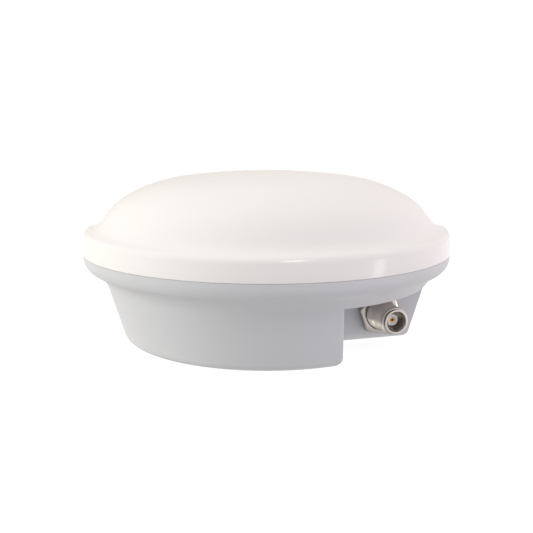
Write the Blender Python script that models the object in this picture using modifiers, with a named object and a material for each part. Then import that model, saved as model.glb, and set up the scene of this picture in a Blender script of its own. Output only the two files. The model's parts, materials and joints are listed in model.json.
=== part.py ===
"""Survey GNSS antenna: a domed radome on a conical housing, with a TNC jack in a corner recess.

The axis of the antenna is Z and the flat underside of the housing lies on Z = 0. The jack points
towards -Y. All dimensions below are in millimetres; meshes are built in metres.
"""
import math

import bmesh
import bpy
from mathutils import Matrix

MM = 0.001
GAP = 0.3                    # clearance left wherever two pieces meet

# Facets round each kind of turned piece
BODY_STEPS = 48
DISC_STEPS = 28
JACK_STEPS = 20
SMALL_STEPS = 10
OFF_SPOKE = math.radians(2)  # keeps a cutter's corners off the spokes of the disc that it cuts

# Radome: the dome's section is a chain of arcs from the apex to the rim band
DOME_HEIGHT = 68.3
DOME_SECTION = (("arc", 282.0, -7.5), ("arc", 59.0, -22.4), ("arc", 25.2, -23.5), ("line", 2.65),
                ("arc", 10.2, 34.8), ("line", 1.2), ("arc", 2.9, -69.4))
RIM_RADIUS = 76.0
RADOME_WALL = 2.6
SPLIT_HEIGHT = 36.8          # where the housing ends and the radome's band starts
POST_RADIUS = 3.6

# Housing: a section from the underside up to the split
BASE_FLAT_RADIUS = 55.8
HOUSING_SECTION = (("arc", 4.3, 72.7), ("line", 20.5), ("arc", 11.5, -47.9), ("arc", 6.0, 63.2),
                   ("line", 1.83))
FLOOR = 2.5
CONE_RADIUS = 58.94          # of the cone where it would meet the underside
CONE_SLOPE = 0.312
CONE_WALL = 2.8
LIP_OUTER = 73.0
LIP_INNER = 70.2
LIP_TOP = 40.6
SEAL_HEIGHT = 38.8
SEAL_RADIUS = 0.75
BOSS_RADIUS = 4.75
BOSS_TOP = 35.3

# Case screws rise through the housing's bosses and the ground plate into the radome's posts
CASE_SCREW_CIRCLE = 50.0
CASE_SCREW_ANGLES = (12.0, 62.0, 112.0, 162.0, 212.0, 262.0)
SCREW_SEAT = 27.0
SCREW_LENGTH = 17.0

# Pole thread insert, 5/8 inch, in a central boss
INSERT_RADIUS = 10.0
INSERT_FLANGE = 12.0
INSERT_TOP = 17.0
THREAD_BORE = 6.95
THREAD_BOSS_RADIUS = 15.0
THREAD_BOSS_TOP = 19.6

# Vent in the underside
VENT_CIRCLE = 32.0
VENT_ANGLE = 168.0
VENT_RADIUS = 2.7
VENT_FLANGE = 4.5

# Corner recess round the jack
RECESS_WALL_Y = -27.2
RECESS_CEILING = 24.1
RECESS_SIDE_X = 7.6          # of the flared side wall, at RECESS_SIDE_Y
RECESS_SIDE_Y = -66.1
RECESS_FLARE = 0.4           # sideways per unit of depth
RECESS_SKIN = 3.0
RECESS_ROUNDING = 4.3        # of the lower edges, as on the rest of the underside
ROUNDING_LEVELS = 4

# TNC jack, measured outwards from the recess wall
JACK_X = 38.9
JACK_Z = 12.0
JACK_LENGTH = 18.0
NOSE_START = 16.1
NOSE_RADIUS = 4.85
BARREL_RADIUS = 5.55         # 7/16 inch coupling thread
NECK_RADIUS = 6.25           # 1/2 inch mounting thread
NECK_END = 7.5
MOUTH_BORE = 4.08
MOUTH_DEPTH = 8.3
WASHER_RADIUS = 7.6
WASHER_THICKNESS = 0.6
NUT_FLATS = 15.9
NUT_THICKNESS = 2.7
NUT_TURN = -11.0             # the angle at which the nut came to rest, in degrees
SEAL_THICKNESS = 0.8
FLANGE_RADIUS = 7.8
FLANGE_THICKNESS = 2.2
REAR_RADIUS = 5.2
REAR_END = -9.6
FERRULE_RADIUS = 2.6
JACK_END = -13.0
CONTACT_FACE = 14.8
INSULATOR_RADIUS = 2.35
CONTACT_RADIUS = 1.0

# Ground plate, antenna elements and amplifier board
PLATE_BOTTOM = BOSS_TOP + GAP
PLATE_TOP = PLATE_BOTTOM + 1.5
PLATE_RADIUS = 69.0
LOWER_ELEMENT = 43.0
UPPER_ELEMENT = 32.0
ELEMENT_THICKNESS = 6.0
FOIL = 0.4
BOARD_RADIUS = 38.0
BOARD_BOTTOM = 27.4
BOARD_TOP = 29.0
STANDOFF_CIRCLE = 32.0
CENTRE_HOLE = 1.85
FEED_RADIUS = 0.65
FEED_POINTS = ((20.0, 45.0, "lower"), (20.0, 135.0, "lower"), (12.0, 0.0, "upper"), (12.0, 90.0, "upper"))
CABLE_RADIUS = 1.0
LAUNCH_X = 22.0
LAUNCH_Y = 6.0


def clear_scene():
    """Remove whatever the scene starts with."""
    for item in list(bpy.data.objects):
        bpy.data.objects.remove(item, do_unlink=True)


def new_collection(name):
    group = bpy.data.collections.new(name)
    bpy.context.scene.collection.children.link(group)
    return group


def make_material(name, colour, roughness, metallic=0.0):
    """A plain Principled surface."""
    result = bpy.data.materials.new(name)
    result.use_nodes = True
    shader = result.node_tree.nodes["Principled BSDF"]
    shader.inputs["Base Color"].default_value = (*colour, 1.0)
    shader.inputs["Roughness"].default_value = roughness
    shader.inputs["Metallic"].default_value = metallic
    return result


def place(name, mesh, group, location=(0, 0, 0), rotation=(0, 0, 0)):
    """A new object with its location given in millimetres."""
    item = bpy.data.objects.new(name, mesh)
    item.location = [value * MM for value in location]
    item.rotation_euler = rotation
    group.objects.link(item)
    if group is CUTTERS:
        item.hide_render = True
        item.display_type = "WIRE"
    return item


def turned(name, points, group, ring=False, steps=DISC_STEPS, location=(0, 0, 0), rotation=(0, 0, 0)):
    """Spin a section about the local Z axis. The points run down the outer side."""
    mesh = bpy.data.meshes.new(name)
    edges = [(index, index + 1) for index in range(len(points) - 1)]
    if ring:
        edges.append((len(points) - 1, 0))
    mesh.from_pydata([(radius * MM, 0, height * MM) for radius, height in points], edges, [])
    item = place(name, mesh, group, location, rotation)
    screw = item.modifiers.new("turn", "SCREW")
    screw.steps = steps
    screw.render_steps = steps
    screw.use_merge_vertices = True
    screw.merge_threshold = 0.00001
    return item


def tube(name, outer, inner, low, high, group, **options):
    """A plain ring of rectangular section."""
    section = [(inner, high), (outer, high), (outer, low), (inner, low)]
    return turned(name, section, group, ring=True, **options)


def rod(name, radius, low, high, group, steps=SMALL_STEPS, location=(0, 0, 0), rotation=(0, 0, 0), turn=0.0):
    """A solid cylinder, or a prism where steps is small, along the local Z axis."""
    mesh = bpy.data.meshes.new(name)
    shape = bmesh.new()
    centre = Matrix.Translation((0, 0, (low + high) / 2 * MM)) @ Matrix.Rotation(turn, 4, "Z")
    bmesh.ops.create_cone(shape, cap_ends=True, segments=steps, radius1=radius * MM, radius2=radius * MM,
                          depth=(high - low) * MM, matrix=centre)
    shape.to_mesh(mesh)
    shape.free()
    return place(name, mesh, group, location, rotation)


def box(name, low, high, group):
    """A block between two corners."""
    mesh = bpy.data.meshes.new(name)
    shape = bmesh.new()
    size = [(b - a) * MM for a, b in zip(low, high)]
    middle = [(a + b) / 2 * MM for a, b in zip(low, high)]
    bmesh.ops.create_cube(shape, size=1, matrix=Matrix.Translation(middle) @ Matrix.Diagonal((*size, 1)))
    shape.to_mesh(mesh)
    shape.free()
    return place(name, mesh, group)


def combine(item, other, operation="DIFFERENCE"):
    step = item.modifiers.new(operation.lower(), "BOOLEAN")
    step.operation = operation
    step.object = other


def settle(item, surface):
    """Apply the modifiers, give the piece its material and shade its round faces smooth."""
    bpy.context.view_layer.update()
    depsgraph = bpy.context.evaluated_depsgraph_get()
    mesh = bpy.data.meshes.new_from_object(item.evaluated_get(depsgraph))
    item.modifiers.clear()
    item.data = mesh
    mesh.name = item.name
    mesh.materials.clear()
    mesh.materials.append(surface)
    mesh.shade_smooth()
    mesh.set_sharp_from_angle(angle=math.radians(30))
    return item


def section_path(start, heading, moves, inset=0.0, facets=3):
    """Points along a chain of tangent arcs and lines; a positive turn bends to the left.

    The inset moves the whole chain to its right, so that a wall keeps its thickness.
    """
    radius, height = start
    angle = math.radians(heading)
    points = [(radius, height)]
    for move in moves:
        if move[0] == "line":
            radius += move[1] * math.cos(angle)
            height += move[1] * math.sin(angle)
            points.append((radius, height))
            continue
        side = math.copysign(1.0, move[2])
        bend = move[1] + side * inset
        centre = (radius - side * bend * math.sin(angle), height + side * bend * math.cos(angle))
        for step in range(1, facets + 1):
            swept = angle + math.radians(move[2]) * step / facets
            points.append((centre[0] + side * bend * math.sin(swept),
                           centre[1] - side * bend * math.cos(swept)))
        angle += math.radians(move[2])
        radius, height = points[-1]
    return points


def on_circle(radius, degrees, height=0.0):
    angle = math.radians(degrees)
    return (radius * math.cos(angle), radius * math.sin(angle), height)


def cone_radius(height):
    return CONE_RADIUS + CONE_SLOPE * height


def recess_block(name, skin=0.0):
    """The recess as a wedge-sided block, grown on every wall by the skin. Without a skin it is the
    cutter for the outside, and rounds off the lower edges of the walls that it leaves."""
    block = box(name, (0, -90.0, -5.0), (90, RECESS_WALL_Y + skin, RECESS_CEILING + skin), CUTTERS)
    shape = bmesh.new()
    shape.from_mesh(block.data)
    if not skin:
        for level in range(ROUNDING_LEVELS + 1):
            height = RECESS_ROUNDING * (1 - math.sin(math.pi / 2 * level / ROUNDING_LEVELS))
            parts = shape.verts[:] + shape.edges[:] + shape.faces[:]
            bmesh.ops.bisect_plane(shape, geom=parts, plane_co=(0, 0, height * MM), plane_no=(0, 0, 1))
    for point in shape.verts:
        back = 0.0
        if not skin:
            rise = RECESS_ROUNDING - min(max(point.co.z / MM, 0.0), RECESS_ROUNDING)
            back = RECESS_ROUNDING - math.sqrt(RECESS_ROUNDING ** 2 - rise ** 2)
        if point.co.y > RECESS_SIDE_Y * MM:
            point.co.y += back * MM
        if point.co.x < MM:
            side = RECESS_SIDE_X + RECESS_FLARE * (point.co.y / MM - RECESS_SIDE_Y)
            point.co.x = (side - (skin + back) * math.hypot(1, RECESS_FLARE)) * MM
    shape.to_mesh(block.data)
    shape.free()
    return block


def radome():
    """Domed shell with the stepped rim band and six screw posts inside."""
    dome = section_path((0, DOME_HEIGHT), 0, DOME_SECTION)
    bottom = SPLIT_HEIGHT + GAP
    band = [(RIM_RADIUS, 40.5), (RIM_RADIUS, 38.6), (RIM_RADIUS - 0.15, bottom), (0, bottom)]
    shell = turned("radome", dome + band, PARTS, steps=BODY_STEPS)
    inside = section_path((0, DOME_HEIGHT - RADOME_WALL), 0, DOME_SECTION, inset=RADOME_WALL, facets=2)
    room = inside + [(LIP_OUTER + GAP, 42.0), (LIP_OUTER + GAP, 30.0), (0, 30.0)]
    cavity = turned("radome_cavity", room, CUTTERS, steps=BODY_STEPS)
    for number, angle in enumerate(CASE_SCREW_ANGLES):
        spot = on_circle(CASE_SCREW_CIRCLE, angle)
        post = rod(f"radome_post_{number}", POST_RADIUS, bottom + GAP, 75.0, CUTTERS, location=spot)
        combine(cavity, post)
    combine(shell, cavity)
    for number, angle in enumerate(CASE_SCREW_ANGLES):
        spot = on_circle(CASE_SCREW_CIRCLE, angle)
        hole = rod(f"post_hole_{number}", 1.8, 30.0, SCREW_SEAT + SCREW_LENGTH + 2.0, CUTTERS, location=spot)
        combine(shell, hole)
    return settle(shell, make_material("radome_white", (0.86, 0.845, 0.835), 0.22))


def housing():
    """Conical housing with its lip, bosses, corner recess and every hole."""
    path = section_path((BASE_FLAT_RADIUS, 0), 0, HOUSING_SECTION)
    rim = [(0, LIP_TOP), (LIP_OUTER, LIP_TOP), (LIP_OUTER, SPLIT_HEIGHT)]
    body = turned("housing", rim + path[::-1] + [(0, 0)], PARTS, steps=BODY_STEPS)
    room = [(0, 60.0), (LIP_INNER, 60.0), (LIP_INNER, 33.0), (cone_radius(22.0) + 0.5, 27.0),
            (cone_radius(20.0) - CONE_WALL, 20.0), (cone_radius(FLOOR) - CONE_WALL, FLOOR), (0, FLOOR)]
    cavity = turned("housing_cavity", room, CUTTERS, steps=BODY_STEPS)
    combine(cavity, recess_block("recess_skin", RECESS_SKIN))
    boss = rod("thread_boss", THREAD_BOSS_RADIUS, -5.0, THREAD_BOSS_TOP, CUTTERS, steps=DISC_STEPS)
    combine(cavity, boss)
    for number, angle in enumerate(CASE_SCREW_ANGLES):
        spot = on_circle(CASE_SCREW_CIRCLE, angle)
        combine(cavity, rod(f"screw_boss_{number}", BOSS_RADIUS, -5.0, BOSS_TOP, CUTTERS, location=spot))
    combine(body, cavity)
    combine(body, recess_block("recess"))
    for number, angle in enumerate(CASE_SCREW_ANGLES):
        spot = on_circle(CASE_SCREW_CIRCLE, angle)
        stepped = [(0, 45.0), (1.8, 45.0), (1.8, SCREW_SEAT), (3.3, SCREW_SEAT), (3.3, -5.0), (0, -5.0)]
        hole = turned(f"screw_hole_{number}", stepped, CUTTERS, steps=SMALL_STEPS, location=spot)
        combine(body, hole)
    pocket = [(0, INSERT_TOP + GAP), (INSERT_RADIUS + GAP, INSERT_TOP + GAP), (INSERT_RADIUS + GAP, 2.5),
              (INSERT_FLANGE + GAP, 2.5), (INSERT_FLANGE + GAP, -5.0), (0, -5.0)]
    combine(body, turned("insert_pocket", pocket, CUTTERS, rotation=(0, 0, OFF_SPOKE)))
    vent = [(0, 5.0), (VENT_RADIUS + GAP, 5.0), (VENT_RADIUS + GAP, 1.3), (VENT_FLANGE + GAP, 1.3),
            (VENT_FLANGE + GAP, -5.0), (0, -5.0)]
    combine(body, turned("vent_hole", vent, CUTTERS, steps=JACK_STEPS, location=VENT_SPOT))
    opening = rod("jack_hole", NECK_RADIUS + GAP, -RECESS_SKIN - 3.0, 5.0, CUTTERS, steps=JACK_STEPS,
                  location=JACK_SPOT, rotation=JACK_TURN)
    combine(body, opening)
    groove = tube("seal_groove", LIP_OUTER + 1.0, LIP_OUTER - 2 * SEAL_RADIUS - 2 * GAP,
                  SEAL_HEIGHT - SEAL_RADIUS - GAP, SEAL_HEIGHT + SEAL_RADIUS + GAP, CUTTERS, steps=BODY_STEPS)
    combine(body, groove)
    return settle(body, make_material("housing_grey", (0.44, 0.45, 0.465), 0.42))


def rim_seal():
    """O-ring in the lip's groove."""
    centre = LIP_OUTER - SEAL_RADIUS - GAP
    section = []
    for step in range(6):
        angle = -math.radians(60 * step)
        section.append((centre + SEAL_RADIUS * math.cos(angle), SEAL_HEIGHT + SEAL_RADIUS * math.sin(angle)))
    seal = turned("rim_seal", section, PARTS, ring=True, steps=BODY_STEPS)
    return settle(seal, make_material("seal_rubber", (0.02, 0.02, 0.022), 0.6))


def screw_shape(name, head_radius, head, shank_radius, shank, key, location, upwards=True):
    """Cap screw with a hexagon socket; its head's bearing face is at the given place."""
    section = [(0, shank), (shank_radius, shank), (shank_radius, 0), (head_radius, 0), (head_radius, -head),
               (0, -head)]
    rotation = (0, 0, 0) if upwards else (math.pi, 0, 0)
    screw = turned(name, section, PARTS, steps=SMALL_STEPS, location=location, rotation=rotation)
    socket = rod(name + "_socket", key / math.sqrt(3), -head - 1.0, -head * 0.4, CUTTERS, steps=6,
                 location=location, rotation=rotation)
    combine(screw, socket)
    return screw


def case_screws():
    steel = make_material("case_screw_steel", (0.62, 0.61, 0.59), 0.3, 1.0)
    for number, angle in enumerate(CASE_SCREW_ANGLES, 1):
        spot = on_circle(CASE_SCREW_CIRCLE, angle, SCREW_SEAT - GAP)
        settle(screw_shape(f"case_screw_{number}", 2.8, 2.6, 1.5, SCREW_LENGTH, 2.5, spot), steel)


def thread_insert():
    """Flanged brass insert with the pole thread's bore."""
    section = [(THREAD_BORE + 0.8, INSERT_TOP), (INSERT_RADIUS, INSERT_TOP), (INSERT_RADIUS, 2.2),
               (INSERT_FLANGE, 2.2), (INSERT_FLANGE, 0.2), (THREAD_BORE + 1.2, 0.2), (THREAD_BORE, 1.4),
               (THREAD_BORE, INSERT_TOP - 0.8)]
    insert = turned("thread_insert", section, PARTS, ring=True)
    return settle(insert, make_material("insert_brass", (0.73, 0.55, 0.26), 0.32, 1.0))


def vent():
    """Plug pressed into the underside, with its breathing membrane on the inner end."""
    section = [(0.9, 4.0), (VENT_RADIUS, 4.0), (VENT_RADIUS, 1.0), (VENT_FLANGE, 1.0),
               (VENT_FLANGE, 0.5), (VENT_FLANGE - 0.3, 0.2), (0.9, 0.2)]
    plug = turned("vent_plug", section, PARTS, ring=True, steps=JACK_STEPS, location=VENT_SPOT)
    settle(plug, make_material("vent_black", (0.03, 0.03, 0.032), 0.5))
    disc = rod("vent_membrane", VENT_RADIUS - 0.3, 4.0 + GAP, 4.7, PARTS, steps=JACK_STEPS,
               location=VENT_SPOT)
    settle(disc, make_material("membrane_white", (0.8, 0.8, 0.78), 0.8))


def jack_body():
    """Bulkhead jack: nose, coupling barrel, mounting thread, inner flange, rear body and cable ferrule."""
    bore = INSULATOR_RADIUS + GAP
    cable = CABLE_RADIUS + 0.35
    chamfer = 0.25
    flange_back = FLANGE_FRONT - FLANGE_THICKNESS
    section = [(MOUTH_BORE + chamfer, JACK_LENGTH), (NOSE_RADIUS - chamfer, JACK_LENGTH),
               (NOSE_RADIUS, JACK_LENGTH - chamfer), (NOSE_RADIUS, NOSE_START), (BARREL_RADIUS, NOSE_START),
               (BARREL_RADIUS, NECK_END), (NECK_RADIUS - chamfer, NECK_END),
               (NECK_RADIUS, NECK_END - chamfer), (NECK_RADIUS, FLANGE_FRONT),
               (FLANGE_RADIUS, FLANGE_FRONT), (FLANGE_RADIUS, flange_back), (REAR_RADIUS, flange_back),
               (REAR_RADIUS, REAR_END), (FERRULE_RADIUS, REAR_END), (FERRULE_RADIUS, JACK_END),
               (cable, JACK_END), (cable, REAR_END - 0.6), (bore, REAR_END - 0.2),
               (bore, JACK_LENGTH - MOUTH_DEPTH), (MOUTH_BORE, JACK_LENGTH - MOUTH_DEPTH),
               (MOUTH_BORE, JACK_LENGTH - chamfer)]
    body = turned("jack_body", section, PARTS, ring=True, steps=JACK_STEPS, location=JACK_SPOT,
                  rotation=JACK_TURN)
    return settle(body, make_material("jack_nickel", (0.66, 0.62, 0.57), 0.22, 1.0))


def jack_nut():
    """Hexagon nut with its front corners turned off, tightened at the angle where it came to rest."""
    back = 2 * GAP + WASHER_THICKNESS
    front = back + NUT_THICKNESS
    corner = NUT_FLATS / math.sqrt(3)
    nut = rod("jack_nut", corner, back, front, PARTS, steps=6, location=JACK_SPOT, rotation=JACK_TURN,
              turn=math.radians(30 + NUT_TURN))
    cone = [(0, front + 1.0), (NUT_FLATS / 2 - 2.0, front + 1.0), (corner + 1.0, front - 0.85),
            (corner + 1.0, -1.0), (0, -1.0)]
    combine(nut, turned("jack_nut_cone", cone, CUTTERS, steps=JACK_STEPS, location=JACK_SPOT,
                        rotation=JACK_TURN), "INTERSECT")
    combine(nut, rod("jack_nut_bore", NECK_RADIUS + GAP, -2.0, front + 2.0, CUTTERS, steps=JACK_STEPS,
                     location=JACK_SPOT, rotation=JACK_TURN))
    return settle(nut, make_material("nut_nickel", (0.66, 0.62, 0.57), 0.28, 1.0))


def jack_inner_pieces():
    """Everything else on the jack: lock washer, panel seal, insulator and contact."""
    options = {"location": JACK_SPOT, "rotation": JACK_TURN, "steps": JACK_STEPS}
    washer = tube("jack_lock_washer", WASHER_RADIUS, NECK_RADIUS + GAP, GAP, GAP + WASHER_THICKNESS, PARTS,
                  **options)
    settle(washer, make_material("washer_steel", (0.6, 0.6, 0.6), 0.35, 1.0))
    seal = tube("jack_seal", FLANGE_RADIUS - 0.1, NECK_RADIUS + GAP, FLANGE_FRONT + GAP,
                FLANGE_FRONT + GAP + SEAL_THICKNESS, PARTS, **options)
    settle(seal, make_material("jack_seal_rubber", (0.02, 0.02, 0.022), 0.6))
    rear = REAR_END + 0.4
    core = tube("jack_insulator", INSULATOR_RADIUS, CONTACT_RADIUS + 0.25, rear, CONTACT_FACE, PARTS,
                **options)
    settle(core, make_material("insulator_white", (0.83, 0.82, 0.8), 0.45))
    section = [(0, CONTACT_FACE - 4.0), (0.55, CONTACT_FACE - 4.0), (0.55, CONTACT_FACE - 0.1),
               (CONTACT_RADIUS, CONTACT_FACE - 0.1), (CONTACT_RADIUS, rear), (0, rear)]
    contact = turned("jack_contact", section, PARTS, steps=SMALL_STEPS, location=JACK_SPOT,
                     rotation=JACK_TURN)
    settle(contact, make_material("contact_gold", (0.9, 0.62, 0.25), 0.25, 1.0))


def ground_plate():
    """Aluminium disc clamped between the housing's bosses and the radome's posts."""
    plate = tube("ground_plate", PLATE_RADIUS, CENTRE_HOLE, PLATE_BOTTOM, PLATE_TOP, PARTS, steps=BODY_STEPS)
    spots = [on_circle(CASE_SCREW_CIRCLE, angle) for angle in CASE_SCREW_ANGLES]
    spots += [on_circle(radius, angle) for radius, angle, _ in FEED_POINTS]
    for number, spot in enumerate(spots):
        combine(plate, rod(f"plate_hole_{number}", 2.0, 30, 45, CUTTERS, location=spot))
    return settle(plate, make_material("plate_aluminium", (0.7, 0.71, 0.72), 0.35, 1.0))


def antenna_elements():
    """Two stacked patch elements, each a dielectric disc under a metal disc, and their feed pins."""
    ceramic = make_material("element_ceramic", (0.72, 0.69, 0.6), 0.55)
    copper = make_material("element_silver", (0.75, 0.74, 0.72), 0.3, 1.0)
    floor = PLATE_TOP + GAP
    tops = {}
    for label, radius in (("lower", LOWER_ELEMENT), ("upper", UPPER_ELEMENT)):
        disc_top = floor + ELEMENT_THICKNESS
        foil_low = disc_top + GAP
        foil_top = foil_low + FOIL
        disc = tube(f"{label}_element", radius, CENTRE_HOLE, floor, disc_top, PARTS)
        foil = tube(f"{label}_element_foil", radius - 4, CENTRE_HOLE, foil_low, foil_top, PARTS)
        for number, (circle, angle, target) in enumerate(FEED_POINTS):
            if target == label or label == "lower":
                spot = on_circle(circle, angle)
                hole = rod(f"{label}_feed_hole_{number}", FEED_RADIUS + 0.4, 30, 60, CUTTERS, steps=8,
                           location=spot)
                combine(disc, hole)
                combine(foil, hole)
        settle(disc, ceramic)
        settle(foil, copper)
        tops[label] = foil_top
        floor = foil_top + GAP
    pin_metal = make_material("feed_pin_brass", (0.8, 0.62, 0.3), 0.3, 1.0)
    for number, (circle, angle, target) in enumerate(FEED_POINTS, 1):
        high = tops[target] - 0.1 if target == "lower" else tops[target] + 0.6
        pin = rod(f"feed_pin_{number}", FEED_RADIUS, BOARD_BOTTOM - 0.6, high, PARTS, steps=8,
                  location=on_circle(circle, angle))
        settle(pin, pin_metal)
    head = (0, 0, tops["upper"] + GAP)
    shank = head[2] - PLATE_BOTTOM + 2.0
    post = screw_shape("element_screw", 3.0, 2.2, 1.5, shank, 2.5, head, upwards=False)
    settle(post, make_material("element_screw_brass", (0.78, 0.6, 0.3), 0.3, 1.0))


def amplifier_board():
    """Round board hung under the ground plate on four standoffs, with its shield can and coax launch."""
    board = rod("amplifier_board", BOARD_RADIUS, BOARD_BOTTOM, BOARD_TOP, PARTS, steps=DISC_STEPS)
    for number, (circle, angle, _) in enumerate(FEED_POINTS):
        combine(board, rod(f"board_feed_hole_{number}", FEED_RADIUS + 0.35, 20, 32, CUTTERS, steps=8,
                           location=on_circle(circle, angle)))
    brass = make_material("standoff_brass", (0.75, 0.58, 0.3), 0.35, 1.0)
    steel = make_material("board_screw_steel", (0.6, 0.6, 0.6), 0.3, 1.0)
    for number in range(4):
        spot = on_circle(STANDOFF_CIRCLE, 22.5 + 90 * number)
        combine(board, rod(f"board_screw_hole_{number}", 1.6, 20, 32, CUTTERS, location=spot))
        pillar = rod(f"standoff_{number + 1}", 2.9, BOARD_TOP + GAP, PLATE_BOTTOM - GAP, PARTS, steps=6,
                     location=spot)
        combine(pillar, rod(f"standoff_hole_{number}", 1.5, 20, PLATE_BOTTOM - 1.5, CUTTERS, location=spot))
        settle(pillar, brass)
        seat = (*spot[:2], BOARD_BOTTOM - GAP)
        settle(screw_shape(f"board_screw_{number + 1}", 2.3, 1.6, 1.2, 5.5, 2.0, seat), steel)
    settle(board, make_material("board_green", (0.03, 0.16, 0.07), 0.4))
    under = BOARD_BOTTOM - GAP
    can = box("shield_can", (-24, -16, under - 4.0), (8, 10, under), PARTS)
    combine(can, box("shield_room", (-23.2, -15.2, under - 3.2), (7.2, 9.2, under + 2.0), CUTTERS))
    settle(can, make_material("can_tin", (0.68, 0.68, 0.66), 0.35, 1.0))
    launch = tube("coax_launch", 2.4, CABLE_RADIUS + 0.35, under - 4.5, under, PARTS, steps=SMALL_STEPS,
                  location=(LAUNCH_X, LAUNCH_Y, 0))
    settle(launch, make_material("launch_brass", (0.75, 0.58, 0.3), 0.35, 1.0))


def coax_lead():
    """Coaxial lead from the back of the jack up into the launch on the board."""
    route = [(JACK_X, RECESS_WALL_Y - REAR_END + 0.9, JACK_Z),
             (JACK_X, RECESS_WALL_Y - JACK_END + 1.5, JACK_Z),
             (JACK_X - 1.2, -5.0, JACK_Z + 0.7), (JACK_X - 5.0, 1.4, JACK_Z + 2.0),
             (LAUNCH_X + 8.5, LAUNCH_Y - 0.5, JACK_Z + 3.6), (LAUNCH_X + 2.5, LAUNCH_Y, JACK_Z + 6.8),
             (LAUNCH_X, LAUNCH_Y, JACK_Z + 10.8), (LAUNCH_X, LAUNCH_Y, BOARD_BOTTOM - 2 * GAP)]
    guide = bpy.data.curves.new("lead_guide", "CURVE")
    guide.dimensions = "3D"
    guide.bevel_depth = CABLE_RADIUS * MM
    guide.bevel_resolution = 2
    guide.use_fill_caps = True
    points = smooth_points(route, 4)
    line = guide.splines.new("POLY")
    line.points.add(len(points) - 1)
    for knot, spot in zip(line.points, points):
        knot.co = (*[value * MM for value in spot], 1.0)
    source = bpy.data.objects.new("lead_guide", guide)
    PARTS.objects.link(source)
    bpy.context.view_layer.update()
    depsgraph = bpy.context.evaluated_depsgraph_get()
    mesh = bpy.data.meshes.new_from_object(source.evaluated_get(depsgraph))
    bpy.data.objects.remove(source, do_unlink=True)
    shape = bmesh.new()
    shape.from_mesh(mesh)
    bmesh.ops.remove_doubles(shape, verts=shape.verts, dist=0.00001)
    shape.to_mesh(mesh)
    shape.free()
    lead = place("coax_lead", mesh, PARTS)
    return settle(lead, make_material("lead_jacket", (0.35, 0.16, 0.08), 0.4))


def smooth_points(route, parts):
    """Points along a Catmull-Rom curve through the route."""
    ends = [route[0]] + list(route) + [route[-1]]
    points = [route[0]]
    for index in range(1, len(ends) - 2):
        before, start, finish, after = ends[index - 1:index + 3]
        for step in range(1, parts + 1):
            t = step / parts
            spot = []
            for a, b, c, d in zip(before, start, finish, after):
                spot.append(0.5 * (2 * b + (c - a) * t + (2 * a - 5 * b + 4 * c - d) * t * t
                                   + (3 * b - a - 3 * c + d) * t ** 3))
            points.append(tuple(spot))
    return points


clear_scene()
PARTS = new_collection("gnss_antenna")
CUTTERS = new_collection("cutters")
VENT_SPOT = on_circle(VENT_CIRCLE, VENT_ANGLE)
JACK_SPOT = (JACK_X, RECESS_WALL_Y, JACK_Z)
JACK_TURN = (math.pi / 2, 0, 0)
FLANGE_FRONT = -RECESS_SKIN - 2 * GAP - SEAL_THICKNESS
radome()
housing()
rim_seal()
case_screws()
thread_insert()
vent()
jack_body()
jack_nut()
jack_inner_pieces()
ground_plate()
antenna_elements()
amplifier_board()
coax_lead()
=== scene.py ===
"""Looks of the survey GNSS antenna: smooth shells, a threaded jack, fine materials and studio light.

The script works in millimetres and in the frame of the CAD model: the axis is Z, the underside lies on
Z = 0 and the jack points towards -Y. Meshes are built in metres.
"""
import json
import math

import bmesh
import bpy
from mathutils import Matrix, Vector

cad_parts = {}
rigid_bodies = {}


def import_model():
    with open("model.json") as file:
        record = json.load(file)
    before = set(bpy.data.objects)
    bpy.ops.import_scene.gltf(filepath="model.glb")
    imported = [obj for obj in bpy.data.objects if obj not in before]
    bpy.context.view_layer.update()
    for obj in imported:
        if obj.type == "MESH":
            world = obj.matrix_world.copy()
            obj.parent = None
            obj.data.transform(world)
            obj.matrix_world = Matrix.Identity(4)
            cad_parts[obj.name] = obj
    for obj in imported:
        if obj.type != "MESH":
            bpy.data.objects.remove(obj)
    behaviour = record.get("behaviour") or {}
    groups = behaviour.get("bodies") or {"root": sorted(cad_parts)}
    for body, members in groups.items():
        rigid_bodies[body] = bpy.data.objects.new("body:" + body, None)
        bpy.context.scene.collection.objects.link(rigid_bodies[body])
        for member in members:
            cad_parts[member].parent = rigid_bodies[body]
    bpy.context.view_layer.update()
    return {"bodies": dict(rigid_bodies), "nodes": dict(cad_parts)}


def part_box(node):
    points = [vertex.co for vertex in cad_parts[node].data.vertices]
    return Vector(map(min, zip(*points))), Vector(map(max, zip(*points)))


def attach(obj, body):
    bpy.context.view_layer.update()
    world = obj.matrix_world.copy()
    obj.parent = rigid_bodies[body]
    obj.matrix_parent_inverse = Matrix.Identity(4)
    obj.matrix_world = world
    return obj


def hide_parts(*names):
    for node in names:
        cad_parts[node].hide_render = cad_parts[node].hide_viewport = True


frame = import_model()

MM = 0.001
BODY = next(iter(frame["bodies"]))


def extent(node):
    """The node's lowest and highest corners in millimetres."""
    low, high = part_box(node)
    return low / MM, high / MM


# Heights and radii that the CAD model sets
RADOME_LOW, RADOME_HIGH = extent("radome")
HOUSING_LOW, HOUSING_HIGH = extent("housing")
JACK_LOW, JACK_HIGH = extent("jack_body")
WASHER_LOW, WASHER_HIGH = extent("jack_lock_washer")
NUT_LOW, NUT_HIGH = extent("jack_nut")
INSERT_LOW, INSERT_HIGH = extent("thread_insert")
VENT_LOW, VENT_HIGH = extent("vent_plug")
SCREW_CIRCLE_NODES = [f"case_screw_{number}" for number in range(1, 7)]

# Facets round each kind of turned piece
BODY_STEPS = 144
JACK_STEPS = 96
HOLE_STEPS = 40
ARC_STEP = 4.0               # degrees of bend per facet along a section
SHARP_ANGLE = 32             # degrees between faces from which an edge is shaded sharp

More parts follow.
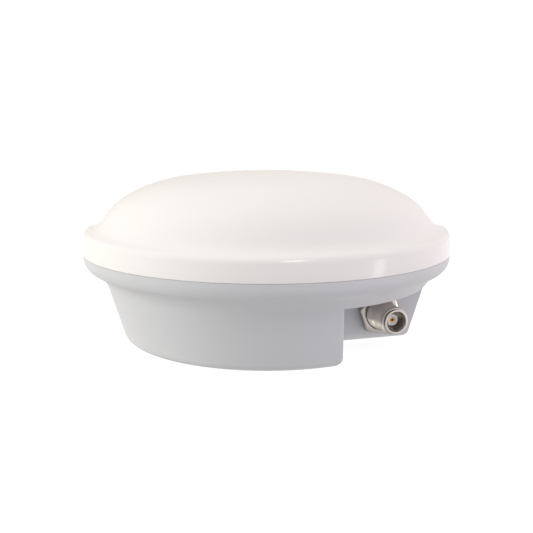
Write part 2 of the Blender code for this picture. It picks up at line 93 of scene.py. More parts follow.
# Radome: the dome's section is a chain of arcs from the apex to the rim band
DOME_HEIGHT = RADOME_HIGH.z
RIM_RADIUS = RADOME_HIGH.x
DOME_SECTION = (("arc", 282.0, -7.5), ("arc", 59.0, -22.4), ("arc", 25.2, -23.5), ("line", 2.65),
                ("arc", 10.2, 34.8), ("line", 1.2), ("arc", 2.9, -69.4))
RADOME_WALL = 2.6
BAND_HIGH = 40.5             # the band is widest between these heights and drafts in below them
BAND_LOW = 38.6
BAND_DRAFT = 0.15
SPLIT_HEIGHT = 36.5          # joint between radome and housing
SEAM = 0.06                  # gap in the joint
SEAM_EDGE = 0.25             # rounding of the joint's edges
POST_RADIUS = 3.6
POST_FOOT = 37.4
SCREW_BORE = 1.8

# Housing
BASE_FLAT_RADIUS = 55.8
HOUSING_SECTION = (("arc", 4.3, 72.7), ("line", 20.5), ("arc", 11.5, -47.9), ("arc", 6.0, 63.2),
                   ("line", 1.83))
FLOOR = 2.5                  # thickness of the underside
CONE_RADIUS = 58.94          # of the cone, drawn down to Z = 0
CONE_SLOPE = 0.312
CONE_WALL = 2.8
LIP_OUTER = 73.0
LIP_INNER = 70.2
BOSS_RADIUS = 4.75
BOSS_TOP = 35.3
SCREW_SEAT = 27.0            # the screws' heads rest here, at the end of deep holes
SCREW_REACH = 19.0
HEAD_BORE = 3.3
HEAD_BORE_EDGE = 0.6         # chamfer at the mouth of each deep hole
THREAD_BOSS_RADIUS = 15.0
THREAD_BOSS_TOP = 19.6
RECESS_WALL_Y = WASHER_HIGH.y + 0.3
RECESS_CEILING = 24.1
RECESS_SIDE_X = 7.6          # the side wall passes through this spot and flares by so much per millimetre
RECESS_SIDE_Y = -66.1
RECESS_FLARE = 0.4
RECESS_SKIN = 3.0            # thickness of the recess's walls
RECESS_ROUNDING = 4.3        # of the walls' lower edges
ROUNDING_LEVELS = 14
CUT_EDGE = 0.45              # radius worn on the edges that the recess cuts

# Jack, measured outwards from the recess's wall
JACK_SPOT = ((JACK_LOW.x + JACK_HIGH.x) / 2, RECESS_WALL_Y, (JACK_LOW.z + JACK_HIGH.z) / 2)
JACK_TURN = (math.pi / 2, 0, 0)
JACK_LENGTH = RECESS_WALL_Y - JACK_LOW.y
NOSE_START = 16.1
NOSE_RADIUS = 4.85
BARREL_RADIUS = 5.55
NECK_RADIUS = 6.25
NECK_END = 7.5
BARREL_EDGE = 0.8            # rounding at the barrel's front
LIP_LENGTH = 0.55            # the nose's lip, in front of a groove
GROOVE_DEPTH = 0.6
MOUTH_BORE = 4.08
MOUTH_DEPTH = 8.3
FLANGE_RADIUS = 7.8
FLANGE_FRONT = -4.4
FLANGE_BACK = -6.6
REAR_RADIUS = 5.2
REAR_END = -9.6
FERRULE_RADIUS = 2.6
JACK_END = RECESS_WALL_Y - JACK_HIGH.y
NUT_FLATS = 15.9
NUT_TURN = -11.0
CONTACT_FACE = 14.4
INSULATOR_RADIUS = 2.35
CONTACT_RADIUS = 1.0
INCH = 25.4
FINE_PITCH = INCH / 28
FINE_DEPTH = 0.4
POLE_BORE = 6.95
POLE_PITCH = INCH / 11
POLE_DEPTH = 1.0

# Camera
CAMERA_AZIMUTH = -18.2
CAMERA_DISTANCE = 380.0
CAMERA_HEIGHT = 100.4
CAMERA_PITCH = 10.74
CAMERA_LENS = 61.9

# Soft light from all round: azimuth and elevation counted from the camera, focus, colour and strength
ROOM_GLOWS = ((-100.0, 5.0, 1.0, (0.44, 0.36, 0.32)), (26.0, 6.0, 3.0, (0.57, 0.575, 0.615)),
              (100.0, 5.0, 1.0, (0.71, 0.60, 0.64)), (180.0, 5.0, 1.0, (0.62, 0.60, 0.57)),
              (0.0, 90.0, 2.0, (0.57, 0.61, 0.59)), (0.0, -90.0, 0.0001, (0.25, 0.26, 0.255)),
              (-78.0, -36.0, 5.0, (0.96, 0.97, 0.92)))

# Lamps: azimuth, elevation, distance, width, height, watts, colour
SOFTBOXES = {"key": (-77.0, 21.0, 800.0, 480.0, 320.0, 2.95, (0.955, 0.98, 0.955)),
             "left_bank": (-106.0, 42.0, 700.0, 700.0, 420.0, 0.2, (0.97, 0.99, 1.0)),
             "front_light": (20.0, 49.0, 800.0, 150.0, 160.0, 0.8, (1.0, 0.98, 0.97)),
             "right_window": (66.5, -10.0, 800.0, 105.0, 300.0, 0.26, (1.0, 1.0, 1.0))}
GLINTS = ("front_light", "right_window")     # the lamps that show in reflections

# Backdrop and floor
BACKDROP_STRENGTH = 1.1
FLOOR_SIZE = 3.0             # metres from the middle to each side
FLOOR_DROP = 0.05
FLOOR_GLOW = 0.84


def place(name, mesh, location=(0, 0, 0), rotation=(0, 0, 0)):
    """A new object with its location given in millimetres."""
    item = bpy.data.objects.new(name, mesh)
    item.location = [value * MM for value in location]
    item.rotation_euler = rotation
    bpy.context.scene.collection.objects.link(item)
    return item


def turned(name, points, ring=False, steps=BODY_STEPS, location=(0, 0, 0), rotation=(0, 0, 0)):
    """Spin a section about the local Z axis. The points run down the outer side."""
    mesh = bpy.data.meshes.new(name)
    edges = [(index, index + 1) for index in range(len(points) - 1)]
    if ring:
        edges.append((len(points) - 1, 0))
    mesh.from_pydata([(radius * MM, 0, height * MM) for radius, height in points], edges, [])
    item = place(name, mesh, location, rotation)
    screw = item.modifiers.new("turn", "SCREW")
    screw.steps = steps
    screw.render_steps = steps
    screw.use_merge_vertices = True
    screw.merge_threshold = 0.00001
    return item


def rod(name, radius, low, high, steps=HOLE_STEPS, location=(0, 0, 0), rotation=(0, 0, 0), turn=0.0):
    """A solid cylinder, or a prism where steps is small, along the local Z axis."""
    mesh = bpy.data.meshes.new(name)
    shape = bmesh.new()
    centre = Matrix.Translation((0, 0, (low + high) / 2 * MM)) @ Matrix.Rotation(turn, 4, "Z")
    bmesh.ops.create_cone(shape, cap_ends=True, segments=steps, radius1=radius * MM, radius2=radius * MM,
                          depth=(high - low) * MM, matrix=centre)
    shape.to_mesh(mesh)
    shape.free()
    return place(name, mesh, location, rotation)


def box(name, low, high, location=(0, 0, 0), rotation=(0, 0, 0)):
    """A block between two corners."""
    mesh = bpy.data.meshes.new(name)
    shape = bmesh.new()
    size = [(b - a) * MM for a, b in zip(low, high)]
    middle = [(a + b) / 2 * MM for a, b in zip(low, high)]
    bmesh.ops.create_cube(shape, size=1, matrix=Matrix.Translation(middle) @ Matrix.Diagonal((*size, 1)))
    shape.to_mesh(mesh)
    shape.free()
    return place(name, mesh, location, rotation)


def combine(item, other, operation="DIFFERENCE"):
    """A Boolean whose other shape is thrown away once the item is settled."""
    step = item.modifiers.new("cut", "BOOLEAN")
    step.operation = operation
    step.object = other


def bake(item):
    """Apply the modifiers and remove the shapes that they used."""
    bpy.context.view_layer.update()
    depsgraph = bpy.context.evaluated_depsgraph_get()
    mesh = bpy.data.meshes.new_from_object(item.evaluated_get(depsgraph))
    used = [step.object for step in item.modifiers if step.type == "BOOLEAN"]
    item.modifiers.clear()
    item.data = mesh
    for other in used:
        bpy.data.objects.remove(other, do_unlink=True)
    return item


def settle(item, material, node):
    """Finish a piece: bake it, give it its material, and let it ride and stand for its CAD node."""
    if item.modifiers:
        bake(item)
    mesh = item.data
    mesh.name = item.name
    mesh.materials.clear()
    mesh.materials.append(material)
    mesh.shade_smooth()
    mesh.set_sharp_from_angle(angle=math.radians(SHARP_ANGLE))
    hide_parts(node)
    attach(item, BODY)
    return item


def section_path(start, heading, moves, inset=0.0):
    """Points along a chain of tangent arcs and lines; a positive turn bends to the left.

    The inset moves the whole chain to its right, so that a wall keeps its thickness.
    """
    radius, height = start
    angle = math.radians(heading)
    points = [(radius, height)]
    for move in moves:
        if move[0] == "line":
            radius += move[1] * math.cos(angle)
            height += move[1] * math.sin(angle)
            points.append((radius, height))
            continue
        side = math.copysign(1.0, move[2])
        bend = move[1] + side * inset
        centre = (radius - side * bend * math.sin(angle), height + side * bend * math.cos(angle))
        facets = max(3, math.ceil(abs(move[2]) * max(1.0, bend / 60.0) / ARC_STEP))
        for step in range(1, facets + 1):
            swept = angle + math.radians(move[2]) * step / facets
            points.append((centre[0] + side * bend * math.sin(swept),
                           centre[1] - side * bend * math.cos(swept)))
        angle += math.radians(move[2])
        radius, height = points[-1]
    return points


def corner(radius, height, size, start, facets=5):
    """A quarter round from one direction to the next, turning clockwise down an outer side."""
    points = []
    for step in range(facets + 1):
        angle = math.radians(start - 90 * step / facets)
        points.append((radius + size * math.cos(angle), height + size * math.sin(angle)))
    return points


def screw_spots(height=0.0):
    """Where the six case screws stand."""
    spots = []
    for node in SCREW_CIRCLE_NODES:
        low, high = extent(node)
        spots.append(((low.x + high.x) / 2, (low.y + high.y) / 2, height))
    return spots


def cone_radius(height):
    """Outer radius of the housing's cone at a height."""
    return CONE_RADIUS + CONE_SLOPE * height


def recess_block(name, skin=0.0):
    """The recess as a block with one flared side, grown on every wall by the skin.

    Without a skin it cuts the outside, and rounds off the lower edges of the walls that it leaves.
    """
    block = box(name, (0, -90.0, -5.0), (90, RECESS_WALL_Y + skin, RECESS_CEILING + skin))
    shape = bmesh.new()
    shape.from_mesh(block.data)
    if not skin:
        for level in range(ROUNDING_LEVELS + 1):
            height = RECESS_ROUNDING * (1 - math.sin(math.pi / 2 * level / ROUNDING_LEVELS))
            parts = shape.verts[:] + shape.edges[:] + shape.faces[:]
            bmesh.ops.bisect_plane(shape, geom=parts, plane_co=(0, 0, height * MM), plane_no=(0, 0, 1))
    for point in shape.verts:
        back = 0.0
        if not skin:
            rise = RECESS_ROUNDING - min(max(point.co.z / MM, 0.0), RECESS_ROUNDING)
            back = RECESS_ROUNDING - math.sqrt(RECESS_ROUNDING ** 2 - rise ** 2)
        if point.co.y > RECESS_SIDE_Y * MM:
            point.co.y += back * MM
        if point.co.x < MM:
            side = RECESS_SIDE_X + RECESS_FLARE * (point.co.y / MM - RECESS_SIDE_Y)
            point.co.x = (side - (skin + back) * math.hypot(1, RECESS_FLARE)) * MM
    shape.to_mesh(block.data)
    shape.free()
    return block


def surface(name, colour, roughness, metallic=0.0, mottle=0.03, patch=9.0, grain=0.3, depth=0.004,
            spread=0.05, stretch=(1, 1, 1), **sockets):
    """A procedural material.

    Its colour drifts by mottle over patches of the given size, its roughness by spread, and its relief is
    a grain of the given size and depth, in millimetres. Stretch draws the grain out along an axis.
    """
    result = bpy.data.materials.new(name)
    result.use_nodes = True
    nodes = result.node_tree.nodes
    links = result.node_tree.links
    shader = nodes["Principled BSDF"]
    shader.inputs["Metallic"].default_value = metallic
    for socket, value in sockets.items():
        shader.inputs[socket.replace("_", " ")].default_value = value
    where = nodes.new("ShaderNodeTexCoord")
    scaled = nodes.new("ShaderNodeMapping")
    scaled.inputs["Scale"].default_value = stretch
    links.new(where.outputs["Object"], scaled.inputs["Vector"])
    patches = nodes.new("ShaderNodeTexNoise")
    patches.inputs["Scale"].default_value = 1 / (patch * MM)
    patches.inputs["Detail"].default_value = 4.0
    links.new(where.outputs["Object"], patches.inputs["Vector"])
    tint = nodes.new("ShaderNodeMix")
    tint.data_type = "RGBA"
    tint.inputs["A"].default_value = (*[value * (1 - mottle) for value in colour], 1.0)
    tint.inputs["B"].default_value = (*[min(1.0, value * (1 + mottle)) for value in colour], 1.0)
    links.new(patches.outputs["Fac"], tint.inputs["Factor"])
    links.new(tint.outputs["Result"], shader.inputs["Base Color"])
    fine = nodes.new("ShaderNodeTexNoise")
    fine.inputs["Scale"].default_value = 1 / (grain * MM)
    fine.inputs["Detail"].default_value = 3.0
    links.new(scaled.outputs["Vector"], fine.inputs["Vector"])
    sheen = nodes.new("ShaderNodeMapRange")
    sheen.inputs["To Min"].default_value = roughness - spread
    sheen.inputs["To Max"].default_value = roughness + spread
    links.new(fine.outputs["Fac"], sheen.inputs["Value"])
    links.new(sheen.outputs["Result"], shader.inputs["Roughness"])
    relief = nodes.new("ShaderNodeBump")
    relief.inputs["Distance"].default_value = depth * MM
    links.new(fine.outputs["Fac"], relief.inputs["Height"])
    links.new(relief.outputs["Normal"], shader.inputs["Normal"])
    return result


def thread(item, low, high, pitch, depth, outside=True, runout=0.6):
    """Cut a helical thread into the turned wall between two heights of a baked piece.

    A crest keeps the wall's own radius on an outside thread; on an inside one the root goes outwards.
    """
    for point in item.data.vertices:
        height = point.co.z / MM
        radius = math.hypot(point.co.x, point.co.y) / MM
        if not low - 1e-4 <= height <= high + 1e-4 or radius < 0.1:
            continue
        turn = math.atan2(point.co.y, point.co.x) / (2 * math.pi)
        phase = (height / pitch - turn) % 1.0
        flank = min(1.0, max(0.0, abs(phase - 0.5) * 2.6 - 0.3))
        fade = min(1.0, (height - low) / (runout * pitch), (high - height) / (runout * pitch))
        shift = depth * max(0.0, fade) * (-flank if outside else flank)
        grown = (radius + shift) / radius
        point.co.x *= grown
        point.co.y *= grown
    return item


def rows(low, high, step):
    """Heights from low to high, evenly spaced and no further apart than the step."""
    count = max(1, math.ceil(abs(high - low) / step))
    return [low + (high - low) * index / count for index in range(count + 1)]


def radome_shell():
    """Domed shell with the stepped rim band and six screw posts inside."""
    dome = section_path((0, DOME_HEIGHT), 0, DOME_SECTION)
    bottom = SPLIT_HEIGHT + SEAM
    skirt = RIM_RADIUS - BAND_DRAFT
    band = [(RIM_RADIUS, BAND_HIGH), (RIM_RADIUS, BAND_LOW)]
    band += corner(skirt - SEAM_EDGE, bottom + SEAM_EDGE, SEAM_EDGE, 0) + [(0, bottom)]
    shell = turned("radome_shell", dome + band)
    inside = section_path((0, DOME_HEIGHT - RADOME_WALL), 0, DOME_SECTION, inset=RADOME_WALL)
    room = inside + [(LIP_OUTER + 0.3, 42.0), (LIP_OUTER + 0.3, 30.0), (0, 30.0)]
    cavity = turned("cavity", room)
    posts = [rod("post", POST_RADIUS, POST_FOOT, 75.0, location=spot) for spot in screw_spots()]
    for post in posts:
        combine(cavity, post)
    combine(shell, bake(cavity))
    for spot in screw_spots():
        combine(shell, rod("hole", SCREW_BORE, 30.0, SCREW_SEAT + SCREW_REACH, location=spot))
    white = surface("radome_plastic", (0.87, 0.845, 0.83), 0.13, mottle=0.006, patch=30.0, grain=0.7,
                    depth=0.0015, spread=0.02)
    return settle(shell, white, "radome")


def housing_shell():
    """Conical housing with its lip, bosses, corner recess and every hole."""
    path = section_path((BASE_FLAT_RADIUS, 0), 0, HOUSING_SECTION)
    top_radius = path[-1][0]
    rim = [(0, HOUSING_HIGH.z), (LIP_OUTER, HOUSING_HIGH.z), (LIP_OUTER, SPLIT_HEIGHT)]
    rim += corner(top_radius - SEAM_EDGE, SPLIT_HEIGHT - SEAM_EDGE, SEAM_EDGE, 90)
    body = turned("housing_shell", rim + path[-2::-1] + [(0, 0)])
    room = [(0, 60.0), (LIP_INNER, 60.0), (LIP_INNER, 33.0), (cone_radius(22.0) + 0.5, 27.0),
            (cone_radius(20.0) - CONE_WALL, 20.0), (cone_radius(FLOOR) - CONE_WALL, FLOOR), (0, FLOOR)]
    cavity = turned("cavity", room)
    combine(cavity, recess_block("recess_skin", RECESS_SKIN))
    combine(cavity, rod("thread_boss", THREAD_BOSS_RADIUS, -5.0, THREAD_BOSS_TOP))
    for spot in screw_spots():
        combine(cavity, rod("screw_boss", BOSS_RADIUS, -5.0, BOSS_TOP, location=spot))
    combine(body, bake(cavity))
    combine(body, recess_block("recess"))
    combine(body, rod("jack_hole", NECK_RADIUS + 0.3, -6.0, 5.0, steps=JACK_STEPS, location=JACK_SPOT,
                      rotation=JACK_TURN))
    bake(body)
    soften_cut(body)
    for spot in screw_spots():
        stepped = [(0, 45.0), (SCREW_BORE, 45.0), (SCREW_BORE, SCREW_SEAT), (HEAD_BORE, SCREW_SEAT),
                   (HEAD_BORE, 0.4), (HEAD_BORE + HEAD_BORE_EDGE, 0.4 - HEAD_BORE_EDGE),
                   (HEAD_BORE + HEAD_BORE_EDGE, -5.0), (0, -5.0)]
        combine(body, turned("screw_hole", stepped, steps=HOLE_STEPS, location=spot))
    flange = INSERT_HIGH.x + 0.15
    barrel = 10.3
    pocket = [(0, INSERT_HIGH.z + 0.3), (barrel, INSERT_HIGH.z + 0.3), (barrel, 2.5), (flange, 2.5),
              (flange, 0.3), (flange + 0.5, -0.2), (flange + 0.5, -5.0), (0, -5.0)]
    combine(body, turned("insert_pocket", pocket, steps=JACK_STEPS, rotation=(0, 0, 0.01)))
    vent = (VENT_LOW + VENT_HIGH) / 2
    width = (VENT_HIGH.x - VENT_LOW.x) / 2 + 0.15
    seat = [(0, 5.0), (3.0, 5.0), (3.0, 1.3), (width, 1.3), (width, -5.0), (0, -5.0)]
    combine(body, turned("vent_hole", seat, steps=HOLE_STEPS, location=(vent.x, vent.y, 0)))
    grey = surface("housing_paint", (0.6, 0.61, 0.63), 0.42, mottle=0.012, patch=22.0, grain=0.45,
                   depth=0.012, spread=0.05)
    return settle(body, grey, "housing")


def soften_cut(item):
    """Round the sharp edges where the recess cuts the cone."""
    shape = bmesh.new()
    shape.from_mesh(item.data)
    chosen = []
    for edge in shape.edges:
        if len(edge.link_faces) != 2 or edge.calc_face_angle(0) < math.radians(40):
            continue
        ends = [(math.hypot(*point.co.xy) / MM, point.co.z / MM) for point in edge.verts]
        on_cone = all(abs(radius - cone_radius(height)) < 0.15 for radius, height in ends)
        if on_cone and all(height > 3.0 for _, height in ends):
            chosen.append(edge)
    bmesh.ops.bevel(shape, geom=chosen, offset=CUT_EDGE * MM, segments=4, profile=0.5, affect="EDGES",
                    clamp_overlap=False)
    shape.to_mesh(item.data)
    shape.free()


def jack_metal(name, colour, roughness):
    """Nickel plate over turned brass, with fine lathe marks round its axis."""
    return surface(name, colour, roughness, metallic=1.0, mottle=0.05, patch=2.5, grain=0.12,
                   depth=0.0012, spread=0.04, stretch=(0.25, 0.25, 3.0))


def jack_body():
    """Bulkhead jack: nose, threaded coupling barrel, mounting thread, inner flange and cable ferrule."""
    bore = INSULATOR_RADIUS + 0.3
    lip = JACK_LENGTH - LIP_LENGTH
    root = NOSE_RADIUS - GROOVE_DEPTH
    barrel = [(BARREL_RADIUS, height) for height in rows(NOSE_START - 0.35, NECK_END + 0.75, 0.09)]
    neck = [(NECK_RADIUS, height) for height in rows(NECK_END - 0.1, FLANGE_FRONT + 0.9, 0.09)]
    section = [(MOUTH_BORE + 0.12, JACK_LENGTH)]
    section += corner(NOSE_RADIUS - 0.1, JACK_LENGTH - 0.1, 0.1, 90, facets=3)
    section += [(NOSE_RADIUS, lip), (root, lip - 0.1), (root, NOSE_START + 0.5)]
    section += corner(BARREL_RADIUS - BARREL_EDGE - 0.01, NOSE_START - 0.3, BARREL_EDGE, 90, facets=9)
    section += barrel + [(BARREL_RADIUS + 0.05, NECK_END + 0.6), (NECK_RADIUS - 0.1, NECK_END)] + neck
    section += [(NECK_RADIUS, FLANGE_FRONT), (FLANGE_RADIUS, FLANGE_FRONT), (FLANGE_RADIUS, FLANGE_BACK),
                (REAR_RADIUS, FLANGE_BACK), (REAR_RADIUS, REAR_END), (FERRULE_RADIUS, REAR_END),
                (FERRULE_RADIUS, JACK_END), (1.35, JACK_END), (1.35, REAR_END - 0.6), (bore, REAR_END - 0.2),
                (bore, JACK_LENGTH - MOUTH_DEPTH), (MOUTH_BORE - 0.15, JACK_LENGTH - MOUTH_DEPTH),
                (MOUTH_BORE, JACK_LENGTH - MOUTH_DEPTH + 0.15), (MOUTH_BORE, JACK_LENGTH - 0.12)]
    body = turned("jack_shell", section, ring=True, steps=JACK_STEPS, location=JACK_SPOT,
                  rotation=JACK_TURN)
    bake(body)
    thread(body, NECK_END + 0.8, NOSE_START - 0.35, FINE_PITCH, FINE_DEPTH)
    thread(body, FLANGE_FRONT + 0.9, NECK_END - 0.15, FINE_PITCH, FINE_DEPTH)
    return settle(body, jack_metal("jack_plate", (0.64, 0.59, 0.545), 0.24), "jack_body")


def jack_nut():
    """Hexagon nut with both rims turned off and a chamfered bore."""
    back = RECESS_WALL_Y - NUT_HIGH.y
    front = RECESS_WALL_Y - NUT_LOW.y
    rim = NUT_FLATS / math.sqrt(3)
    nut = rod("jack_hexagon", rim, back, front, steps=6, location=JACK_SPOT, rotation=JACK_TURN,
              turn=math.radians(30 + NUT_TURN))
    soft = nut.modifiers.new("edges", "BEVEL")
    soft.width = 0.12 * MM
    soft.segments = 2
    cone = [(0, front + 1.0), (NUT_FLATS / 2 - 2.0, front + 1.0), (rim + 1.0, front - 0.85),
            (rim + 1.0, back - 1.0), (0, back - 1.0)]
    combine(nut, turned("cone", cone, steps=JACK_STEPS, location=JACK_SPOT, rotation=JACK_TURN),
            "INTERSECT")
    bore = NECK_RADIUS + 0.05
    hole = [(0, front + 1), (bore + 1.35, front + 1), (bore, front - 0.35), (bore, back + 0.35),
            (bore + 1.35, back - 1), (0, back - 1)]
    combine(nut, turned("bore", hole, steps=JACK_STEPS, location=JACK_SPOT, rotation=JACK_TURN))
    # The nut has the jack's own nickel plate, coloured darker as painted shade: the darker colour stands for
    # the shade of the recess and the dark walls that the nut reflects.
    return settle(nut, jack_metal("nut_plate_darkened_for_shade", (0.53, 0.495, 0.46), 0.18), "jack_nut")


def jack_washer():
    """Internal-tooth lock washer behind the nut."""
    back = RECESS_WALL_Y - WASHER_HIGH.y - 0.2
    front = RECESS_WALL_Y - WASHER_LOW.y + 0.2
    radius = WASHER_HIGH.x - JACK_SPOT[0]
    section = [(6.75, front), (radius - 0.12, front), (radius, front - 0.12), (radius, back + 0.12),
               (radius - 0.12, back), (6.75, back)]
    washer = turned("lock_washer_ring", section, ring=True, steps=JACK_STEPS, location=JACK_SPOT,
                    rotation=JACK_TURN)
    for number in range(10):
        angle = 2 * math.pi * number / 10
        notch = box("notch", (5.5, -0.45, back - 1), (7.05, 0.45, front + 1), location=JACK_SPOT)
        notch.rotation_mode = "QUATERNION"
        notch.rotation_quaternion = (Matrix.Rotation(math.pi / 2, 4, "X")
                                     @ Matrix.Rotation(angle, 4, "Z")).to_quaternion()
        combine(washer, notch)
    steel = surface("washer_metal", (0.6, 0.59, 0.57), 0.32, metallic=1.0, mottle=0.05, patch=2.0,
                    grain=0.1, depth=0.002)
    return settle(washer, steel, "jack_lock_washer")


def jack_core():
    """White insulator and slotted gold contact."""
    options = {"location": JACK_SPOT, "rotation": JACK_TURN}
    rear = REAR_END + 0.4
    face = CONTACT_FACE
    section = [(CONTACT_RADIUS + 0.12, face - 0.06), (CONTACT_RADIUS + 0.2, face), (2.1, face),
               (2.28, face - 0.08), (INSULATOR_RADIUS, face - 0.25), (INSULATOR_RADIUS, rear),
               (CONTACT_RADIUS + 0.12, rear)]
    core = turned("insulator_core", section, ring=True, steps=JACK_STEPS, **options)
    white = surface("insulator_plastic", (0.93, 0.925, 0.92), 0.4, mottle=0.02, patch=1.5, grain=0.08,
                    depth=0.002)
    settle(core, white, "jack_insulator")
    section = [(0, face - 4.0), (0.5, face - 4.0), (0.55, face - 3.8), (0.55, face - 0.25),
               (0.68, face - 0.02), (0.9, face), (CONTACT_RADIUS, face - 0.12), (CONTACT_RADIUS, rear),
               (0, rear)]
    pin = turned("contact_socket", section, steps=HOLE_STEPS, **options)
    slot = box("slot", (-1.5, -0.11, face - 3.0), (1.5, 0.11, face + 1), rotation=JACK_TURN,
               location=JACK_SPOT)
    combine(pin, slot)
    gold = surface("contact_plate", (0.93, 0.6, 0.22), 0.22, metallic=1.0, mottle=0.04, patch=0.8,
                   grain=0.06, depth=0.001)
    return settle(pin, gold, "jack_contact")


def thread_insert():
    """Flanged brass insert with the pole thread cut in its bore."""
    bore = POLE_BORE
    low, high = INSERT_LOW.z, INSERT_HIGH.z
    wall = INSERT_HIGH.x - 2.0
    inside = [(bore, height) for height in rows(low + 1.4, high - 0.8, 0.2)]
    section = [(bore + 0.8, high), (wall, high), (wall, 2.2), (INSERT_HIGH.x - 0.2, 2.2),
               (INSERT_HIGH.x, 2.0), (INSERT_HIGH.x, low + 0.2), (INSERT_HIGH.x - 0.2, low),
               (bore + 1.4, low)] + inside
    insert = turned("insert_shell", section, ring=True, steps=JACK_STEPS)
    bake(insert)
    thread(insert, low + 1.4, high - 0.8, POLE_PITCH, POLE_DEPTH, outside=False)
    brass = surface("insert_metal", (0.73, 0.55, 0.26), 0.3, metallic=1.0, mottle=0.06, patch=4.0,
                    grain=0.15, depth=0.002, stretch=(0.3, 0.3, 2.0))
    return settle(insert, brass, "thread_insert")


def vent_plug():
    """Round vent with six breathing holes round its middle."""
    spot = ((VENT_LOW.x + VENT_HIGH.x) / 2, (VENT_LOW.y + VENT_HIGH.y) / 2, 0)
    radius = (VENT_HIGH.x - VENT_LOW.x) / 2
    low, high = VENT_LOW.z, VENT_HIGH.z
    section = [(0.5, high), (2.7, high), (2.7, 1.0), (radius, 1.0), (radius, low + 0.25),
               (radius - 0.08, low + 0.08), (radius - 0.25, low), (1.6, low), (1.4, low + 0.15),
               (0.5, low + 0.15)]
    plug = turned("vent_cap", section, ring=True, steps=64, location=spot)
    for number in range(6):
        angle = math.pi / 3 * number
        place_at = (spot[0] + 2.1 * math.cos(angle), spot[1] + 2.1 * math.sin(angle), 0)
        combine(plug, rod("pore", 0.35, -1.0, 8.0, steps=16, location=place_at))
    black = surface("vent_plastic", (0.025, 0.025, 0.027), 0.5, mottle=0.1, patch=3.0, grain=0.2,
                    depth=0.006)
    return settle(plug, black, "vent_plug")


def inner_materials():
    """Procedural materials for the CAD pieces that stay as they are."""
    steel = surface("screw_metal", (0.62, 0.61, 0.59), 0.3, metallic=1.0, mottle=0.05, patch=2.0,
                    grain=0.1, depth=0.002)
    brass = surface("small_brass_metal", (0.76, 0.59, 0.3), 0.3, metallic=1.0, mottle=0.06, patch=2.0,
                    grain=0.1, depth=0.002)
    rubber = surface("seal_elastomer", (0.022, 0.022, 0.024), 0.6, mottle=0.15, patch=3.0, grain=0.15,
                     depth=0.006)
    ceramic = surface("element_body", (0.72, 0.69, 0.6), 0.55, mottle=0.04, patch=6.0, grain=0.25,
                      depth=0.01)
    foil = surface("element_plate", (0.75, 0.74, 0.72), 0.32, metallic=1.0, mottle=0.04, patch=5.0,
                   grain=0.3, depth=0.004)
    plate = surface("plate_metal", (0.7, 0.71, 0.72), 0.36, metallic=1.0, mottle=0.03, patch=12.0,
                    grain=0.2, depth=0.003, stretch=(0.1, 2.0, 1.0))
    lacquer = surface("board_lacquer", (0.03, 0.16, 0.07), 0.35, mottle=0.12, patch=1.5, grain=0.3,
                      depth=0.01)
    tin = surface("can_metal", (0.68, 0.68, 0.66), 0.35, metallic=1.0, mottle=0.05, patch=4.0,
                  grain=0.2, depth=0.004)
    jacket = surface("lead_plastic", (0.35, 0.16, 0.08), 0.38, mottle=0.08, patch=1.0, grain=0.1,
                     depth=0.003)
    membrane = surface("membrane_fabric", (0.8, 0.8, 0.78), 0.85, mottle=0.05, patch=0.4, grain=0.05,
                       depth=0.01)
    kinds = {"case_screw": steel, "board_screw": steel, "feed_pin": brass, "standoff": brass,
             "element_screw": brass, "coax_launch": brass, "rim_seal": rubber, "jack_seal": rubber,
             "lower_element_foil": foil, "upper_element_foil": foil, "lower_element": ceramic,
             "upper_element": ceramic, "ground_plate": plate, "amplifier_board": lacquer,
             "shield_can": tin, "coax_lead": jacket, "vent_membrane": membrane}
    for name, node in frame["nodes"].items():
        for start, finish in kinds.items():
            if name.startswith(start):
                node.data.materials.clear()
                node.data.materials.append(finish)
                break


def aim(item, spot, target=(0, 0, 35.0)):
    """Place an item and point its -Z axis at the target."""
    item.location = Vector(spot) * MM
    item.rotation_mode = "QUATERNION"
    item.rotation_quaternion = (Vector(target) - Vector(spot)).to_track_quat("-Z", "Y")
    return item


def camera():
    """Camera at the reference view."""
    data = bpy.data.cameras.new("view")
    data.sensor_width = 36.0
    data.lens = CAMERA_LENS
    data.clip_start = 0.01
    item = bpy.data.objects.new("view", data)
    bpy.context.scene.collection.objects.link(item)
    azimuth = math.radians(CAMERA_AZIMUTH)
    item.location = (CAMERA_DISTANCE * math.sin(azimuth) * MM, -CAMERA_DISTANCE * math.cos(azimuth) * MM,
                     CAMERA_HEIGHT * MM)
    item.rotation_euler = (math.pi / 2 - math.radians(CAMERA_PITCH), 0, azimuth)
    bpy.context.scene.camera = item


def direction(azimuth, elevation):
    """A unit vector. Its azimuth is counted from the camera, positive to the right."""
    angle = math.radians(CAMERA_AZIMUTH + azimuth)
    rise = math.radians(elevation)
    return (math.sin(angle) * math.cos(rise), -math.cos(angle) * math.cos(rise), math.sin(rise))


def softbox(name, azimuth, elevation, distance, width, height, power, colour=(1, 1, 1)):
    """A rectangular lamp that shines at the middle of the object."""
    data = bpy.data.lights.new(name, "AREA")
    data.shape = "RECTANGLE"
    data.size = width * MM
    data.size_y = height * MM
    data.energy = power
    data.color = colour
    item = bpy.data.objects.new(name, data)
    item.visible_camera = False
    bpy.context.scene.collection.objects.link(item)
    spot = [distance * part for part in direction(azimuth, elevation)]
    return aim(item, spot)


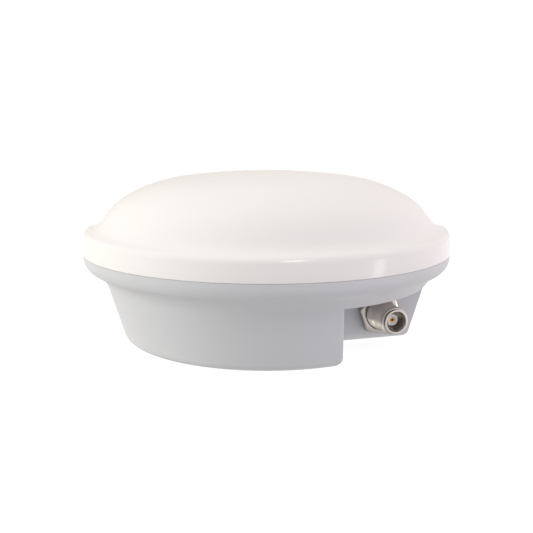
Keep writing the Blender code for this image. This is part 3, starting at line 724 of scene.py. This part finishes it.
def glow(tree, azimuth, elevation, focus, colour):
    """A soft lobe of world light round one direction, as a colour that varies with direction."""
    nodes = tree.nodes
    where = nodes.new("ShaderNodeTexCoord")
    toward = nodes.new("ShaderNodeVectorMath")
    toward.operation = "DOT_PRODUCT"
    toward.inputs[1].default_value = direction(azimuth, elevation)
    tree.links.new(where.outputs["Generated"], toward.inputs[0])
    front = nodes.new("ShaderNodeMath")
    front.operation = "MAXIMUM"
    front.inputs[1].default_value = 0.0
    tree.links.new(toward.outputs["Value"], front.inputs[0])
    narrow = nodes.new("ShaderNodeMath")
    narrow.operation = "POWER"
    narrow.inputs[1].default_value = focus
    tree.links.new(front.outputs["Value"], narrow.inputs[0])
    tinted = nodes.new("ShaderNodeVectorMath")
    tinted.operation = "SCALE"
    tinted.inputs[0].default_value = colour
    tree.links.new(narrow.outputs["Value"], tinted.inputs["Scale"])
    return tinted.outputs["Vector"]


def room():
    """White surroundings, and the soft uneven light that they throw on the object."""
    world = bpy.data.worlds.new("room")
    bpy.context.scene.world = world
    world.use_nodes = True
    tree = world.node_tree
    nodes = tree.nodes
    total = None
    for lobe in ROOM_GLOWS:
        part = glow(tree, *lobe)
        if total is None:
            total = part
            continue
        added = nodes.new("ShaderNodeVectorMath")
        added.operation = "ADD"
        tree.links.new(total, added.inputs[0])
        tree.links.new(part, added.inputs[1])
        total = added.outputs["Vector"]
    light = nodes["Background"]
    tree.links.new(total, light.inputs["Color"])
    backdrop = nodes.new("ShaderNodeBackground")
    backdrop.inputs["Color"].default_value = (1, 1, 1, 1)
    backdrop.inputs["Strength"].default_value = BACKDROP_STRENGTH
    seen = nodes.new("ShaderNodeLightPath")
    choose = nodes.new("ShaderNodeMixShader")
    tree.links.new(seen.outputs["Is Camera Ray"], choose.inputs["Fac"])
    tree.links.new(light.outputs["Background"], choose.inputs[1])
    tree.links.new(backdrop.outputs["Background"], choose.inputs[2])
    tree.links.new(choose.outputs["Shader"], nodes["World Output"].inputs["Surface"])


def studio():
    """Pale seamless floor and soft light."""
    room()
    mesh = bpy.data.meshes.new("floor")
    shape = bmesh.new()
    bmesh.ops.create_grid(shape, x_segments=1, y_segments=1, size=FLOOR_SIZE)
    shape.to_mesh(mesh)
    shape.free()
    floor = place("floor", mesh, (0, 0, -FLOOR_DROP))
    floor.visible_diffuse = False
    floor.visible_glossy = False
    floor.visible_transmission = False
    floor.visible_shadow = False
    pale = bpy.data.materials.new("pale_floor")
    pale.use_nodes = True
    shader = pale.node_tree.nodes["Principled BSDF"]
    shader.inputs["Base Color"].default_value = (0.4, 0.4, 0.4, 1)
    shader.inputs["Roughness"].default_value = 0.9
    shader.inputs["Specular IOR Level"].default_value = 0.0
    shader.inputs["Emission Color"].default_value = (1, 1, 1, 1)
    shader.inputs["Emission Strength"].default_value = FLOOR_GLOW
    mesh.materials.append(pale)
    for name, lamp in SOFTBOXES.items():
        softbox(name, *lamp).visible_glossy = name in GLINTS


def colours():
    """Show colours as they are, with white as white."""
    bpy.context.scene.view_settings.view_transform = "Standard"


camera()
radome_shell()
housing_shell()
jack_body()
jack_nut()
jack_washer()
jack_core()
thread_insert()
vent_plug()
inner_materials()
studio()
colours()
